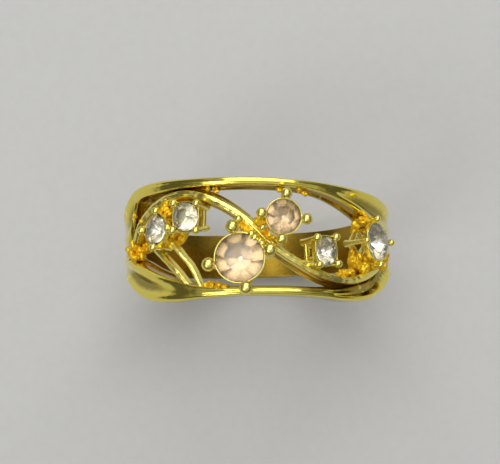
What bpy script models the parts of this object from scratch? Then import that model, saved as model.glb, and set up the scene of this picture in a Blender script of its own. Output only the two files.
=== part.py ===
"""Openwork cocktail ring: two rails and a vine wire crossing between solid shoulders, with six set stones.

Frame: metres. The origin is the centre of the finger hole. +Y is the finger axis, +Z points from the
shank out through the jewelled face, and +X runs to the right across the face. An angle on the band is
measured round +Y from +Z towards +X, and a height is a distance along +Y.
"""
import math

import bmesh
import bpy
from mathutils import Matrix, Vector

MM = 0.001

# The band
BORE_RADIUS = 9.1 * MM
BAND_THICKNESS = 1.45 * MM
BACK_THICKNESS = 1.2 * MM
CROWN_HEIGHT = 0.42 * MM  # how far the outer face of a rail is rounded over
LIP_WIDTH = 0.2 * MM  # the thin inner edge that shows beside a rail or wire
LIP_THICKNESS = 0.25 * MM
FACE_RADIUS = 10.55 * MM  # that the face is drawn at: a wider ring turns each arc of the face by less
FACE_UNIT = 1 * MM  # that the tables of the band are written in
SHOULDER_ANGLE = 76.0  # where the solid shoulders end and the openwork starts, as in the tables below
SOLDER_GAP = 0.04 * MM  # between two pieces that solder joins

# Wires of the openwork
VINE_WIDTH = 0.66 * MM
VINE_DIP = 0.05 * MM  # of the vine's outer face under the rails'
OUTER_STEM_WIDTH = 0.58 * MM
INNER_STEM_WIDTH = 0.44 * MM
STEM_DIP = 0.2 * MM
STEM_ROOT = 0.65 * MM  # from the finger hole to a stem's underside
STEM_LIP = 0.02 * MM
STEM_LIP_THICKNESS = 0.05 * MM
FLOOR_THICKNESS = STEM_ROOT - SOLDER_GAP  # of the plates that carry the outer heads and the stems' tops
WIRE_DOME = 0.06 * MM  # of a wire's outer face, from its edges to its middle

# Stones, as cut: a table, eight crown facets and eight pavilion facets
TABLE_SHARE = 0.56
CROWN_ANGLE = math.radians(33)
PAVILION_ANGLE = math.radians(39)
GIRDLE_HALF = 0.04 * MM
CULET_SHARE = 0.08
FACETS = 8

# Prong heads
GALLERY_CLEARANCE = 0.06 * MM  # from the finger hole to a head's foot
GALLERY_HEIGHT = 0.38 * MM
GALLERY_WALL = 0.3 * MM
FOOT_SHARE = 0.86  # of the stone's radius, from the head's axis to the inner side of a prong's foot
SEAT_WALL = 0.13 * MM
SEAT_HEIGHT = 0.46 * MM
STONE_CLEARANCE = 0.03 * MM
BALL_RISE = 0.12 * MM  # of a prong's ball over the girdle
PRONGS = 4

# Radii of the stones, and of the prongs' shafts and balls, by size of head
LARGE_STONE = 1.8 * MM
MEDIUM_STONE = 1.27 * MM
SIDE_STONE = 1.38 * MM
SMALL_STONE = 1.05 * MM
LARGE_SHAFT = 0.25 * MM
MEDIUM_SHAFT = 0.22 * MM
SIDE_SHAFT = 0.2 * MM
SMALL_SHAFT = 0.18 * MM
LARGE_BALL = 0.48 * MM
MEDIUM_BALL = 0.38 * MM
SMALL_BALL = 0.26 * MM
LARGE = (LARGE_STONE, LARGE_SHAFT, LARGE_BALL)
MEDIUM = (MEDIUM_STONE, MEDIUM_SHAFT, MEDIUM_BALL)
SIDE = (SIDE_STONE, SIDE_SHAFT, SMALL_BALL)
SMALL = (SMALL_STONE, SMALL_SHAFT, SMALL_BALL)
GIRDLE_RISE = 0.45 * MM  # of a stone's girdle over the rails
RIGHT_GIRDLE_RISE = 0.55 * MM
SIDE_GIRDLE_RISE = 0.7 * MM

# Fineness of the faceted solids
RAIL_STEPS = 34
SHANK_STEPS = 46
VINE_STEPS = 46
STEM_STEPS = 9
FLOOR_STEPS = 12
SPAN_STEPS = 3
SHANK_SPAN_STEPS = 2
WIRE_SPAN_STEPS = 2
RING_SIDES = 24
STONE_SIDES = 32
PIN_SIDES = 10
BALL_STEPS = 5

OUTER_RADIUS = BORE_RADIUS + BAND_THICKNESS
GAP_ANGLE = math.degrees(SOLDER_GAP / FACE_RADIUS)

# Across the band: heights of the lower edge, lower ridge, valley, upper ridge and upper edge, then how far
# the ridges and the valley between them lie under the outer radius. In FACE_UNIT, at an angle in degrees.
UPPER_RAIL = [
    (-76, (0.35, 0.8, 1.9, 3.1, 3.45), (0.1, 0.3, 0)),
    (-69, (1.3, 1.65, 2.55, 3.6, 4.0), (0.1, 0.45, 0)),
    (-64, (2.8, 3.02, 3.4, 3.96, 4.3), (0.1, 0.15, 0)),
    (-59, (3.45, 3.63, 3.88, 4.2, 4.47), (0.05, 0, 0.03)),
    (-46, (3.65, 3.9, 4.14, 4.39, 4.63), (0.05, 0, 0.05)),
    (-28, (3.82, 4.0, 4.18, 4.37, 4.55), (0.05, 0, 0.05)),
    (0, (3.7, 3.87, 4.04, 4.21, 4.38), (0.05, 0, 0.05)),
    (18, (3.45, 3.61, 3.78, 3.94, 4.1), (0.05, 0, 0.05)),
    (28, (3.12, 3.3, 3.53, 3.74, 3.94), (0.04, 0, 0.04)),
    (38, (2.55, 2.78, 3.15, 3.5, 3.73), (0.02, 0.12, 0)),
    (50, (1.7, 2.0, 2.65, 3.22, 3.5), (0.05, 0.38, 0)),
    (60, (1.0, 1.3, 2.15, 3.0, 3.3), (0.1, 0.42, 0)),
    (68, (0.75, 1.05, 1.95, 2.76, 3.05), (0.1, 0.38, 0)),
    (76, (0.6, 0.9, 1.7, 2.48, 2.77), (0.08, 0.3, 0)),
]
LOWER_RAIL = [
    (-76, (-2.68, -2.4, -1.9, -1.15, -0.82), (0, 0.3, 0.05)),
    (-69, (-3.32, -3.0, -2.35, -1.5, -1.15), (0, 0.42, 0.05)),
    (-61, (-3.96, -3.6, -2.85, -1.88, -1.52), (0, 0.45, 0.05)),
    (-50, (-4.48, -4.12, -3.38, -2.58, -2.2), (0, 0.34, 0.05)),
    (-38, (-4.63, -4.32, -3.82, -3.25, -2.9), (0, 0.14, 0.03)),
    (-27, (-4.55, -4.3, -4.02, -3.75, -3.5), (0.04, 0, 0.04)),
    (-12, (-4.46, -4.3, -4.13, -3.96, -3.8), (0.05, 0, 0.05)),
    (0, (-4.48, -4.33, -4.18, -4.03, -3.88), (0.05, 0, 0.05)),
    (13, (-4.58, -4.42, -4.27, -4.11, -3.95), (0.05, 0, 0.05)),
    (28, (-4.76, -4.59, -4.42, -4.24, -4.07), (0.05, 0.02, 0.1)),
    (38, (-4.97, -4.75, -4.48, -4.2, -3.95), (0, 0.22, 0.42)),
    (50, (-4.95, -4.68, -4.3, -3.9, -3.62), (0, 0.42, 0.48)),
    (60, (-4.52, -4.24, -3.8, -3.42, -3.2), (0, 0.45, 0.5)),
    (65, (-4.16, -3.86, -3.2, -2.5, -2.2), (0, 0.45, 0.25)),
    (70, (-3.75, -3.45, -2.7, -1.65, -1.3), (0, 0.42, 0.12)),
    (76, (-3.15, -2.85, -2.2, -1.3, -1.0), (0, 0.35, 0.1)),
]
# The same across the shank, with the two rails' ridges and valleys on either side of its middle
SHANK = [
    (76, (-3.15, -2.85, -2.2, -1.3, -0.25, 0.9, 1.7, 2.48, 2.77), (0, 0.35, 0.1, 0.45, 0.08, 0.3, 0)),
    (84, (-2.78, -2.5, -1.95, -1.2, -0.2, 0.8, 1.5, 2.2, 2.52), (0.02, 0.2, 0.05, 0.22, 0.05, 0.18, 0.02)),
    (100, (-2.25, -1.95, -1.4, -0.8, 0, 0.8, 1.4, 1.95, 2.25), (0.08, 0.05, 0.02, 0, 0.02, 0.05, 0.08)),
    (125, (-1.92, -1.6, -1.15, -0.6, 0, 0.6, 1.15, 1.6, 1.92), (0.08, 0.04, 0.01, 0, 0.01, 0.04, 0.08)),
    (145, (-1.8, -1.5, -1.05, -0.55, 0, 0.55, 1.05, 1.5, 1.8), (0.08, 0.04, 0.01, 0, 0.01, 0.04, 0.08)),
    (163, (-1.8, -1.5, -1.05, -0.55, 0, 0.55, 1.05, 1.5, 1.8), (0.08, 0.04, 0.01, 0, 0.01, 0.04, 0.08)),
    (180, (-1.8, -1.5, -1.05, -0.55, 0, 0.55, 1.05, 1.5, 1.8), (0.08, 0.04, 0.01, 0, 0.01, 0.04, 0.08)),
    (197, (-1.8, -1.5, -1.05, -0.55, 0, 0.55, 1.05, 1.5, 1.8), (0.08, 0.04, 0.01, 0, 0.01, 0.04, 0.08)),
    (215, (-1.8, -1.5, -1.05, -0.55, 0, 0.55, 1.05, 1.5, 1.8), (0.08, 0.04, 0.01, 0, 0.01, 0.04, 0.08)),
    (235, (-1.92, -1.6, -1.15, -0.6, 0, 0.6, 1.15, 1.6, 1.92), (0.08, 0.04, 0.01, 0, 0.01, 0.04, 0.08)),
    (260, (-2.2, -1.9, -1.4, -0.8, 0, 0.8, 1.4, 2.0, 2.35), (0.08, 0.05, 0.02, 0, 0.02, 0.05, 0.08)),
    (276, (-2.4, -2.12, -1.7, -1.0, -0.15, 0.8, 1.7, 2.6, 2.95), (0.02, 0.18, 0.04, 0.22, 0.06, 0.18, 0.02)),
    (284, (-2.68, -2.4, -1.9, -1.15, -0.25, 0.8, 1.9, 3.1, 3.45), (0, 0.3, 0.05, 0.45, 0.1, 0.3, 0)),
]
# The plates that carry the heads beside the shoulders: angle, lower edge, upper edge
LEFT_FLOOR = [
    (-76, -0.55, 0.7),
    (-66, -0.5, 1.3),
    (-56, -0.35, 2.3),
    (-46, -0.25, 2.9),
    (-38, -0.2, 3.1),
    (-33, 0.7, 3.1),
]
RIGHT_FLOOR = [
    (49, -3.2, -1.6),
    (53, -3.2, 0.9),
    (60, -2.8, 0.9),
    (68, -1.9, 0.8),
    (76, -1.2, 0.7),
]

# Centre lines of the wires: angle, height
VINE_ROUTE = [
    (-66, 0.45),
    (-59, 1.62),
    (-51, 2.52),
    (-41, 3.22),
    (-30, 3.4),
    (-17, 2.68),
    (-5, 1.28),
    (5, -0.58),
    (17, -2.1),
    (30, -3.18),
    (42, -3.45),
    (53, -3.06),
    (61, -2.5),
    (67, -1.85),
]
OUTER_STEM_ROUTE = [(-50.6, -0.3), (-43.6, -1.34), (-37.9, -2.25), (-32, -3.35)]
INNER_STEM_ROUTE = [(-40.2, 0.05), (-33.6, -1.25), (-29.4, -2.12), (-25.5, -3.45)]

# Heads: name, size, the girdle's rise over the rails, its centre's angle and height, then yaw, pitch and
# the angle of the first prong
HEADS = [
    ("far_left", SMALL, GIRDLE_RISE, -43.9, 0.9, -43.5, 7, -1),
    ("left", SMALL, GIRDLE_RISE, -28.7, 1.6, -29.0, -2, 40),
    ("centre_large", LARGE, GIRDLE_RISE, -7.0, -1.67, -6.2, 4, 11),
    ("centre_medium", MEDIUM, GIRDLE_RISE, 10.8, 1.27, 10.8, 0, -8),
    ("right", SMALL, RIGHT_GIRDLE_RISE, 27.8, -1.32, 44, 0, 48),
    ("far_right", SIDE, SIDE_GIRDLE_RISE, 55.0, -0.48, 55, 2, 0),
]


# ---------------------------------------------------------------- scene and materials


def clear_scene():
    for obj in list(bpy.data.objects):
        bpy.data.objects.remove(obj, do_unlink=True)


def new_collection(name):
    made = bpy.data.collections.new(name)
    bpy.context.scene.collection.children.link(made)
    return made


def new_material(name, colour, roughness, metallic, transmission=0.0):
    made = bpy.data.materials.new(name)
    made.use_nodes = True
    shader = made.node_tree.nodes["Principled BSDF"]
    shader.inputs["Base Color"].default_value = (*colour, 1.0)
    shader.inputs["Roughness"].default_value = roughness
    shader.inputs["Metallic"].default_value = metallic
    shader.inputs["Transmission Weight"].default_value = transmission
    return made


def add_object(name, mesh, collection, material, smooth_angle=35):
    obj = bpy.data.objects.new(name, mesh)
    collection.objects.link(obj)
    if material:
        mesh.materials.append(material)
    if smooth_angle:
        mesh.shade_smooth()
        mesh.set_sharp_from_angle(angle=math.radians(smooth_angle))
    return obj


def mesh_from(bm, name):
    mesh = bpy.data.meshes.new(name)
    bmesh.ops.recalc_face_normals(bm, faces=bm.faces)
    bm.to_mesh(mesh)
    bm.free()
    return mesh


# ---------------------------------------------------------------- rails, shank and wires


def smooth_through(points, steps):
    """A Catmull-Rom curve through the points, read at evenly spaced places."""
    points = [Vector(p) for p in points]
    ends = [points[0] * 2 - points[1]] + points + [points[-1] * 2 - points[-2]]
    read = []
    for step in range(steps + 1):
        place = step / steps * (len(points) - 1)
        span = min(int(place), len(points) - 2)
        t = place - span
        a, b, c, d = ends[span : span + 4]
        bend = (c - a) * t + (a * 2 - b * 5 + c * 4 - d) * t * t + (b * 3 - a - c * 3 + d) * t**3
        read.append(b + bend * 0.5)
    return read


def round_band(angle):
    """An angle in the tables, for this band: the face keeps its arcs, and the shank takes up the rest."""
    angle = (angle + 180) % 360 - 180
    half = SHOULDER_ANGLE * FACE_RADIUS / OUTER_RADIUS
    if abs(angle) <= SHOULDER_ANGLE:
        return angle * half / SHOULDER_ANGLE
    back = (180 - abs(angle)) * (180 - half) / (180 - SHOULDER_ANGLE)
    return math.copysign(180 - back, angle)


def on_band(angle, height, radius):
    turn = math.radians(round_band(angle))
    return Vector((radius * math.sin(turn), height, radius * math.cos(turn)))


def banded_section(heights, drops, outer, span_steps, lips, grow=0.0, root=0.0, lip_thickness=LIP_THICKNESS):
    """Across the band, (height, radius) pairs: thin inner lips, straight sides, and an outer face that rises
    in a quarter round at each edge and runs smoothly from ridge to valley between them."""
    middle = (heights[0] + heights[-1]) / 2
    stretch = 1 + 2 * grow / (heights[-1] - heights[0])
    heights = [middle + (height - middle) * stretch for height in heights]
    drops = [drops[0] + CROWN_HEIGHT, *drops, drops[-1] + CROWN_HEIGHT]
    bore, outer = BORE_RADIUS + root - grow, outer + grow
    lower, upper, last = heights[0], heights[-1], len(heights) - 2
    face = []
    for span in range(len(heights) - 1):
        for step in range(span_steps):
            t = step / span_steps
            if span == 0:
                share = math.sin(t * math.pi / 2)
                t = 1 - math.cos(t * math.pi / 2)
            elif span == last:
                share = 1 - math.cos(t * math.pi / 2)
                t = math.sin(t * math.pi / 2)
            else:
                share = t * t * (3 - 2 * t)
            height = heights[span] + (heights[span + 1] - heights[span]) * t
            face.append((height, outer - drops[span] - (drops[span + 1] - drops[span]) * share))
    face.append((upper, outer - drops[-1]))
    lip_top, lip_root = bore + lip_thickness, bore + 2 * lip_thickness
    below = [(lower - lips[0], bore), (lower - lips[0], lip_top), (lower, lip_root)]
    above = [(upper, lip_root), (upper + lips[1], lip_top), (upper + lips[1], bore)]
    return below + face + above


def loft(name, rings):
    """A closed solid through closed sections that change along its length."""
    bm = bmesh.new()
    loops = [[bm.verts.new(point) for point in ring] for ring in rings]
    for near, far in zip(loops, loops[1:]):
        for k in range(len(near)):
            after = (k + 1) % len(near)
            bm.faces.new((near[k], near[after], far[after], far[k]))
    bm.faces.new(loops[0])
    bm.faces.new(reversed(loops[-1]))
    return mesh_from(bm, name)


def rail_mesh(name, table, steps, span_steps, outer_at, lips, grow=0.0, trim=GAP_ANGLE):
    """A part of the band whose section changes round it, cut square at both ends."""
    flat = [Vector((angle, *heights, *drops)) for angle, heights, drops in table]
    across = len(table[0][1])
    read = smooth_through(flat, steps)
    first, last = read[0][0] + trim, read[-1][0] - trim
    rings = []
    for row in read:
        angle = min(max(row[0], first), last)
        heights = [value * FACE_UNIT for value in row[1 : across + 1]]
        drops = [max(value, 0) * FACE_UNIT for value in row[across + 1 :]]
        section = banded_section(heights, drops, outer_at(angle), span_steps, lips, grow)
        rings.append([on_band(angle, height, radius) for height, radius in section])
    return loft(name, rings)


def wire_mesh(name, route, steps, width, dip, lip, root, lip_thickness, grow=0.0):
    """A wire of even width along a route on the band, with its sections square to the route."""
    arc = math.radians(1) * FACE_RADIUS
    line = smooth_through([(angle * arc, height * FACE_UNIT) for angle, height in route], steps)
    heights = [width * share for share in (-0.5, -0.25, 0, 0.25, 0.5)]
    drops = (WIRE_DOME, 0, WIRE_DOME)
    outer, lips = OUTER_RADIUS - dip, (lip, lip)
    section = banded_section(heights, drops, outer, WIRE_SPAN_STEPS, lips, grow, root, lip_thickness)
    rings = []
    for k, here in enumerate(line):
        along = (line[min(k + 1, steps)] - line[max(k - 1, 0)]).normalized()
        ring = []
        for side, radius in section:
            place = here + Vector((-along.y, along.x)) * side
            ring.append(on_band(place.x / arc, place.y, radius))
        rings.append(ring)
    return loft(name, rings)


def floor_mesh(name, edges, steps):
    """A thin plate on the finger hole's cylinder, between a lower and an upper edge."""
    rings = []
    for angle, lower, upper in smooth_through(edges, steps):
        angle = min(max(angle, GAP_ANGLE - SHOULDER_ANGLE), SHOULDER_ANGLE - GAP_ANGLE)
        corners = [(lower, 0), (lower, FLOOR_THICKNESS), (upper, FLOOR_THICKNESS), (upper, 0)]
        rings.append([on_band(angle, height * FACE_UNIT, BORE_RADIUS + rise) for height, rise in corners])
    return loft(name, rings)


def band_outer(angle):
    """Outer radius of the shank: full at the shoulders, thinner at the back."""
    back = max(0.0, -math.cos(math.radians(angle)))
    return OUTER_RADIUS - (BAND_THICKNESS - BACK_THICKNESS) * back


def openwork_outer(angle):
    return OUTER_RADIUS


# ---------------------------------------------------------------- heads and stones


def turned(name, profile, sides, collection, material):
    """A turned shape: the profile runs down its outer side, and a Screw modifier carries it round Z."""
    mesh = bpy.data.meshes.new(name)
    closed = profile[0][0] > 0
    edges = [(k, k + 1) for k in range(len(profile) - 1)]
    if closed:
        edges.append((len(profile) - 1, 0))
    mesh.from_pydata([(radius, 0, level) for radius, level in profile], edges, [])
    obj = add_object(name, mesh, collection, material, smooth_angle=None)
    screw = obj.modifiers.new("turn", "SCREW")
    screw.steps = sides
    screw.render_steps = sides
    screw.use_merge_vertices = True
    screw.merge_threshold = 1e-7
    screw.use_smooth_shade = True
    return obj


def cut_stone(name, radius):
    """A round stone, cut plane by plane from a cylinder: table, culet, crown and pavilion facets."""
    rise = (1 - TABLE_SHARE) * radius * math.tan(CROWN_ANGLE)
    drop = (1 - CULET_SHARE) * radius * math.tan(PAVILION_ANGLE)
    bm = bmesh.new()
    bmesh.ops.create_cone(
        bm, cap_ends=True, segments=STONE_SIDES, radius1=radius, radius2=radius, depth=4 * radius
    )
    planes = [
        (Vector((0, 0, GIRDLE_HALF + rise)), Vector((0, 0, 1))),
        (Vector((0, 0, -GIRDLE_HALF - drop)), Vector((0, 0, -1))),
    ]
    for facet in range(FACETS):
        out = Vector((math.cos(math.tau * facet / FACETS), math.sin(math.tau * facet / FACETS), 0))
        for side, slope in ((1, CROWN_ANGLE), (-1, PAVILION_ANGLE)):
            edge = out * radius + Vector((0, 0, side * GIRDLE_HALF))
            planes.append((edge, out * math.sin(slope) + Vector((0, 0, side * math.cos(slope)))))
    for place, normal in planes:
        bmesh.ops.bisect_plane(
            bm, geom=bm.verts[:] + bm.edges[:] + bm.faces[:], dist=1e-8,
            plane_co=place, plane_no=normal, clear_outer=True,
        )
        bmesh.ops.holes_fill(bm, edges=[e for e in bm.edges if e.is_boundary])
    return mesh_from(bm, name)


def seat_profile(radius):
    """The cup that a stone's pavilion rests in. Its inner wall clears the ridges between facets."""
    ridge = 1 / math.cos(math.pi / FACETS)
    inner_top = radius + STONE_CLEARANCE
    bottom_reach = (radius - (SEAT_HEIGHT - GIRDLE_HALF) / math.tan(PAVILION_ANGLE)) * ridge
    knee = GIRDLE_HALF + radius * math.tan(PAVILION_ANGLE) * (1 - 1 / ridge) + STONE_CLEARANCE
    return [
        (radius + SEAT_WALL, 0),
        (radius + SEAT_WALL, -SEAT_HEIGHT),
        (min(bottom_reach, radius) + STONE_CLEARANCE * 2, -SEAT_HEIGHT),
        (inner_top, -min(knee, SEAT_HEIGHT * 0.8)),
        (inner_top, 0),
    ]


def pin_profile(length, shaft, ball, grow=0.0):
    """A straight shaft with a ball on its end, from the top of the ball down."""
    ball, shaft = ball + grow, shaft + grow
    neck = math.pi - math.asin(shaft / ball)
    profile = []
    for step in range(BALL_STEPS + 1):
        turn = neck * step / BALL_STEPS
        profile.append((ball * math.sin(turn), length + ball * math.cos(turn)))
    profile[0] = (0, length + ball)
    return profile + [(shaft, -grow), (0, -grow)]


def prong_places(size, first, foot_level):
    """Foot and ball centre of each prong, in the head's own frame."""
    stone, post, ball = size
    foot_reach = stone * FOOT_SHARE + post
    ball_reach = stone + max(SEAT_WALL + SOLDER_GAP + post, ball + STONE_CLEARANCE)
    places = []
    for k in range(PRONGS):
        turn = math.radians(first) + math.tau * k / PRONGS
        out = Vector((math.cos(turn), math.sin(turn), 0))
        foot = out * foot_reach + Vector((0, 0, foot_level))
        places.append((foot, out * ball_reach + Vector((0, 0, BALL_RISE))))
    return places


def deepest_foot(place, rise, reach, first):
    """How far under the girdle a head's feet can stand and still clear the finger hole."""
    turns = [math.radians(first) + math.tau * k / PRONGS for k in range(PRONGS)]
    shallow, deep = -SEAT_HEIGHT, -2 * rise
    for _ in range(24):
        level = (shallow + deep) / 2
        feet = [place @ Vector((reach * math.cos(turn), reach * math.sin(turn), level)) for turn in turns]
        feet.append(place @ Vector((0, 0, level)))
        if min(math.hypot(foot.x, foot.z) for foot in feet) > BORE_RADIUS + GALLERY_CLEARANCE:
            shallow = level
        else:
            deep = level
    return shallow


def build_head(spec, parts, head_room, gold, crystal):
    """One prong head and its stone, on an empty at the girdle's centre, and the room that the band leaves."""
    name, size, rise, angle, height, yaw, pitch, first = spec
    stone, post, ball = size
    girdle = OUTER_RADIUS + rise
    place = bpy.data.objects.new(name + "_place", None)
    parts.objects.link(place)
    place.location = on_band(angle, height * FACE_UNIT, girdle)
    place.rotation_euler = (-math.radians(pitch), math.radians(round_band(yaw)), 0)
    corner = stone * FOOT_SHARE + post
    matrix = Matrix.LocRotScale(place.location, place.rotation_euler, None)
    foot_level = deepest_foot(matrix, girdle - BORE_RADIUS, corner + post, first)
    top = foot_level + GALLERY_HEIGHT
    inner = corner - GALLERY_WALL / math.cos(math.pi / PRONGS)
    frame = [(corner, top), (corner, foot_level), (inner, foot_level), (inner, top)]
    gallery = turned(name + "_gallery", frame, PRONGS, parts, gold)
    gallery.rotation_euler.z = math.radians(first)
    made = [
        gallery,
        turned(name + "_seat", seat_profile(stone), RING_SIDES, parts, gold),
        add_object(name + "_stone", cut_stone(name, stone), parts, crystal, smooth_angle=None),
    ]
    reach = stone + SEAT_WALL + SOLDER_GAP
    room = [
        (0, SOLDER_GAP),
        (reach, SOLDER_GAP),
        (reach, -SEAT_HEIGHT - SOLDER_GAP),
        (corner + SOLDER_GAP, top),
        (corner + SOLDER_GAP, foot_level - BAND_THICKNESS),
        (0, foot_level - BAND_THICKNESS),
    ]
    made.append(turned(name + "_room", room, RING_SIDES, head_room, None))
    for k, (foot, tip) in enumerate(prong_places(size, first, foot_level), 1):
        axis = tip - foot
        kinds = (("prong", 0.0, parts, gold), ("socket", SOLDER_GAP, head_room, None))
        for label, grow, group, material in kinds:
            pin = turned(
                f"{name}_{label}_{k}", pin_profile(axis.length, post, ball, grow), PIN_SIDES, group, material
            )
            pin.location = foot
            pin.rotation_euler = axis.to_track_quat("Z", "Y").to_euler()
            made.append(pin)
        cut(gallery, pin)
    for obj in made:
        obj.parent = place


def cut(obj, cutter):
    modifier = obj.modifiers.new("cut", "BOOLEAN")
    modifier.operation = "DIFFERENCE"
    if isinstance(cutter, bpy.types.Collection):
        modifier.operand_type = "COLLECTION"
        modifier.collection = cutter
    else:
        modifier.object = cutter


# ---------------------------------------------------------------- the ring


def main():
    clear_scene()
    parts = new_collection("cocktail_ring")
    cutters = new_collection("cutters")
    head_room = bpy.data.collections.new("head_room")
    cutters.children.link(head_room)
    gold = new_material("gold_plate", (0.86, 0.62, 0.12), 0.16, 1.0)
    clear = new_material("clear_crystal", (0.95, 0.95, 0.95), 0.02, 0.0, 1.0)
    peach = new_material("peach_crystal", (0.94, 0.8, 0.66), 0.02, 0.0, 1.0)

    for spec in HEADS:
        crystal = peach if spec[0].startswith("centre") else clear
        build_head(spec, parts, head_room, gold, crystal)

    both, inside_below, inside_above = (0, 0), (LIP_WIDTH, 0), (0, LIP_WIDTH)
    stem = (STEM_DIP, STEM_LIP, STEM_ROOT, STEM_LIP_THICKNESS)
    wires = {
        "vine": (VINE_ROUTE, VINE_STEPS, VINE_WIDTH, VINE_DIP, LIP_WIDTH, 0.0, LIP_THICKNESS),
        "outer_stem": (OUTER_STEM_ROUTE, STEM_STEPS, OUTER_STEM_WIDTH, *stem),
        "inner_stem": (INNER_STEM_ROUTE, STEM_STEPS, INNER_STEM_WIDTH, *stem),
    }
    rails = {"upper_rail": (UPPER_RAIL, inside_below), "lower_rail": (LOWER_RAIL, inside_above)}
    shapes = {
        "shank": rail_mesh("shank", SHANK, SHANK_STEPS, SHANK_SPAN_STEPS, band_outer, both, trim=0),
        "left_floor": floor_mesh("left_floor", LEFT_FLOOR, FLOOR_STEPS),
        "right_floor": floor_mesh("right_floor", RIGHT_FLOOR, FLOOR_STEPS),
    }
    rooms = []
    for name, (table, lips) in rails.items():
        shapes[name] = rail_mesh(name, table, RAIL_STEPS, SPAN_STEPS, openwork_outer, lips)
        shape = rail_mesh(name + "_room", table, RAIL_STEPS, SPAN_STEPS, openwork_outer, lips, SOLDER_GAP, -1)
        rooms.append(add_object(name + "_room", shape, cutters, None))
    for name, wire in wires.items():
        shapes[name] = wire_mesh(name, *wire)

    wire_rooms = [
        add_object(name + "_room", wire_mesh(name + "_room", *wire, SOLDER_GAP), cutters, None)
        for name, wire in wires.items()
    ]
    for name, shape in shapes.items():
        piece = add_object(name, shape, parts, gold)
        cut(piece, head_room)
        if name not in ("shank", "upper_rail", "lower_rail"):
            for room in rooms:
                cut(piece, room)
        if name.endswith("floor"):
            for room in wire_rooms:
                cut(piece, room)
    for cutter in list(cutters.objects) + list(head_room.objects):
        cutter.hide_render = True
        cutter.display_type = "WIRE"


main()
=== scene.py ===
"""Looks of an openwork cocktail ring: gold-plated rails, vine and prong heads, and six foiled stones.

Every length is in metres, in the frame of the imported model: the origin is the centre of the finger
hole, +Y is the finger axis and +Z points out through the jewelled face.
"""
import math
import random
from functools import partial

import bmesh
import bpy
import numpy as np
from mathutils import Euler, Matrix, Vector, noise


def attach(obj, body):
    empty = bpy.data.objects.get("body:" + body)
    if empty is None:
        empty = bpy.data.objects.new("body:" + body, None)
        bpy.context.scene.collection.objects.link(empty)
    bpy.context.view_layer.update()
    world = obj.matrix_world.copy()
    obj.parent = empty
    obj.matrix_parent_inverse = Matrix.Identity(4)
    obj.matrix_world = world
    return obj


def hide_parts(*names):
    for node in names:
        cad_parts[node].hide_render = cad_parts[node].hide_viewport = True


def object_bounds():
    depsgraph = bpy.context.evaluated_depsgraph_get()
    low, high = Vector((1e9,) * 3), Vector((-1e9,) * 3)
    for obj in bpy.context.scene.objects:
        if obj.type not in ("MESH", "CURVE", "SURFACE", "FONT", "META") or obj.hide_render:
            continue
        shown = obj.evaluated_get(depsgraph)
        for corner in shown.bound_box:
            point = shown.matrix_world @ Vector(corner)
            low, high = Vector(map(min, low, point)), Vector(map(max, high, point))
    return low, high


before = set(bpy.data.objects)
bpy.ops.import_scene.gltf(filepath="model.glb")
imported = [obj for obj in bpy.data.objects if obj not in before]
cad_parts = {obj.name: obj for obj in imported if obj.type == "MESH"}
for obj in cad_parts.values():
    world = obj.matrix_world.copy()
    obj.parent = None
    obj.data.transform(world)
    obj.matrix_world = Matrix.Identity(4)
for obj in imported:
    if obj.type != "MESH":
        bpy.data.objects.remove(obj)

MM = 0.001
CAD_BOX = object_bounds()

# ---------------- sizes of the band

BORE_RADIUS = 9.1 * MM
BAND_THICKNESS = 1.45 * MM
BACK_THICKNESS = 1.2 * MM
OUTER_RADIUS = BORE_RADIUS + BAND_THICKNESS
CROWN_HEIGHT = 0.42 * MM
LIP_WIDTH = 0.2 * MM
LIP_THICKNESS = 0.25 * MM
EDGE_ROUND = 0.06 * MM

VINE_WIDTH = 0.66 * MM
VINE_DIP = 0.05 * MM
OUTER_STEM_WIDTH = 0.58 * MM
INNER_STEM_WIDTH = 0.44 * MM
STEM_DIP = 0.2 * MM
STEM_ROOT = 0.65 * MM
STEM_LIP = 0.02 * MM
STEM_LIP_THICKNESS = 0.05 * MM
WIRE_DOME = 0.06 * MM
WIRE_SWELL = 0.05

DEGREE_LENGTH = 0.184  # millimetres round the band in one degree
VALLEY_DEEPER = 0.35  # the share by which a valley is cut deeper than its row says
VALLEY_FULL = 0.4  # the drop in millimetres from which that share is whole
SHANK_VALLEY = 0.45
RAIL_REACH = 0.4  # degrees that a rail runs into the shank

FLOOR_LEVEL = 0.5 * MM
FLOOR_UNDERSIDE = 0.02 * MM
FLOOR_RIPPLE = 0.07
FLOOR_WANDER = 0.06 * MM
NUB_LEVEL = 0.3 * MM  # over the finger hole, under which no casting nub sits
NUB_DENSITY = 6e7

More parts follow.
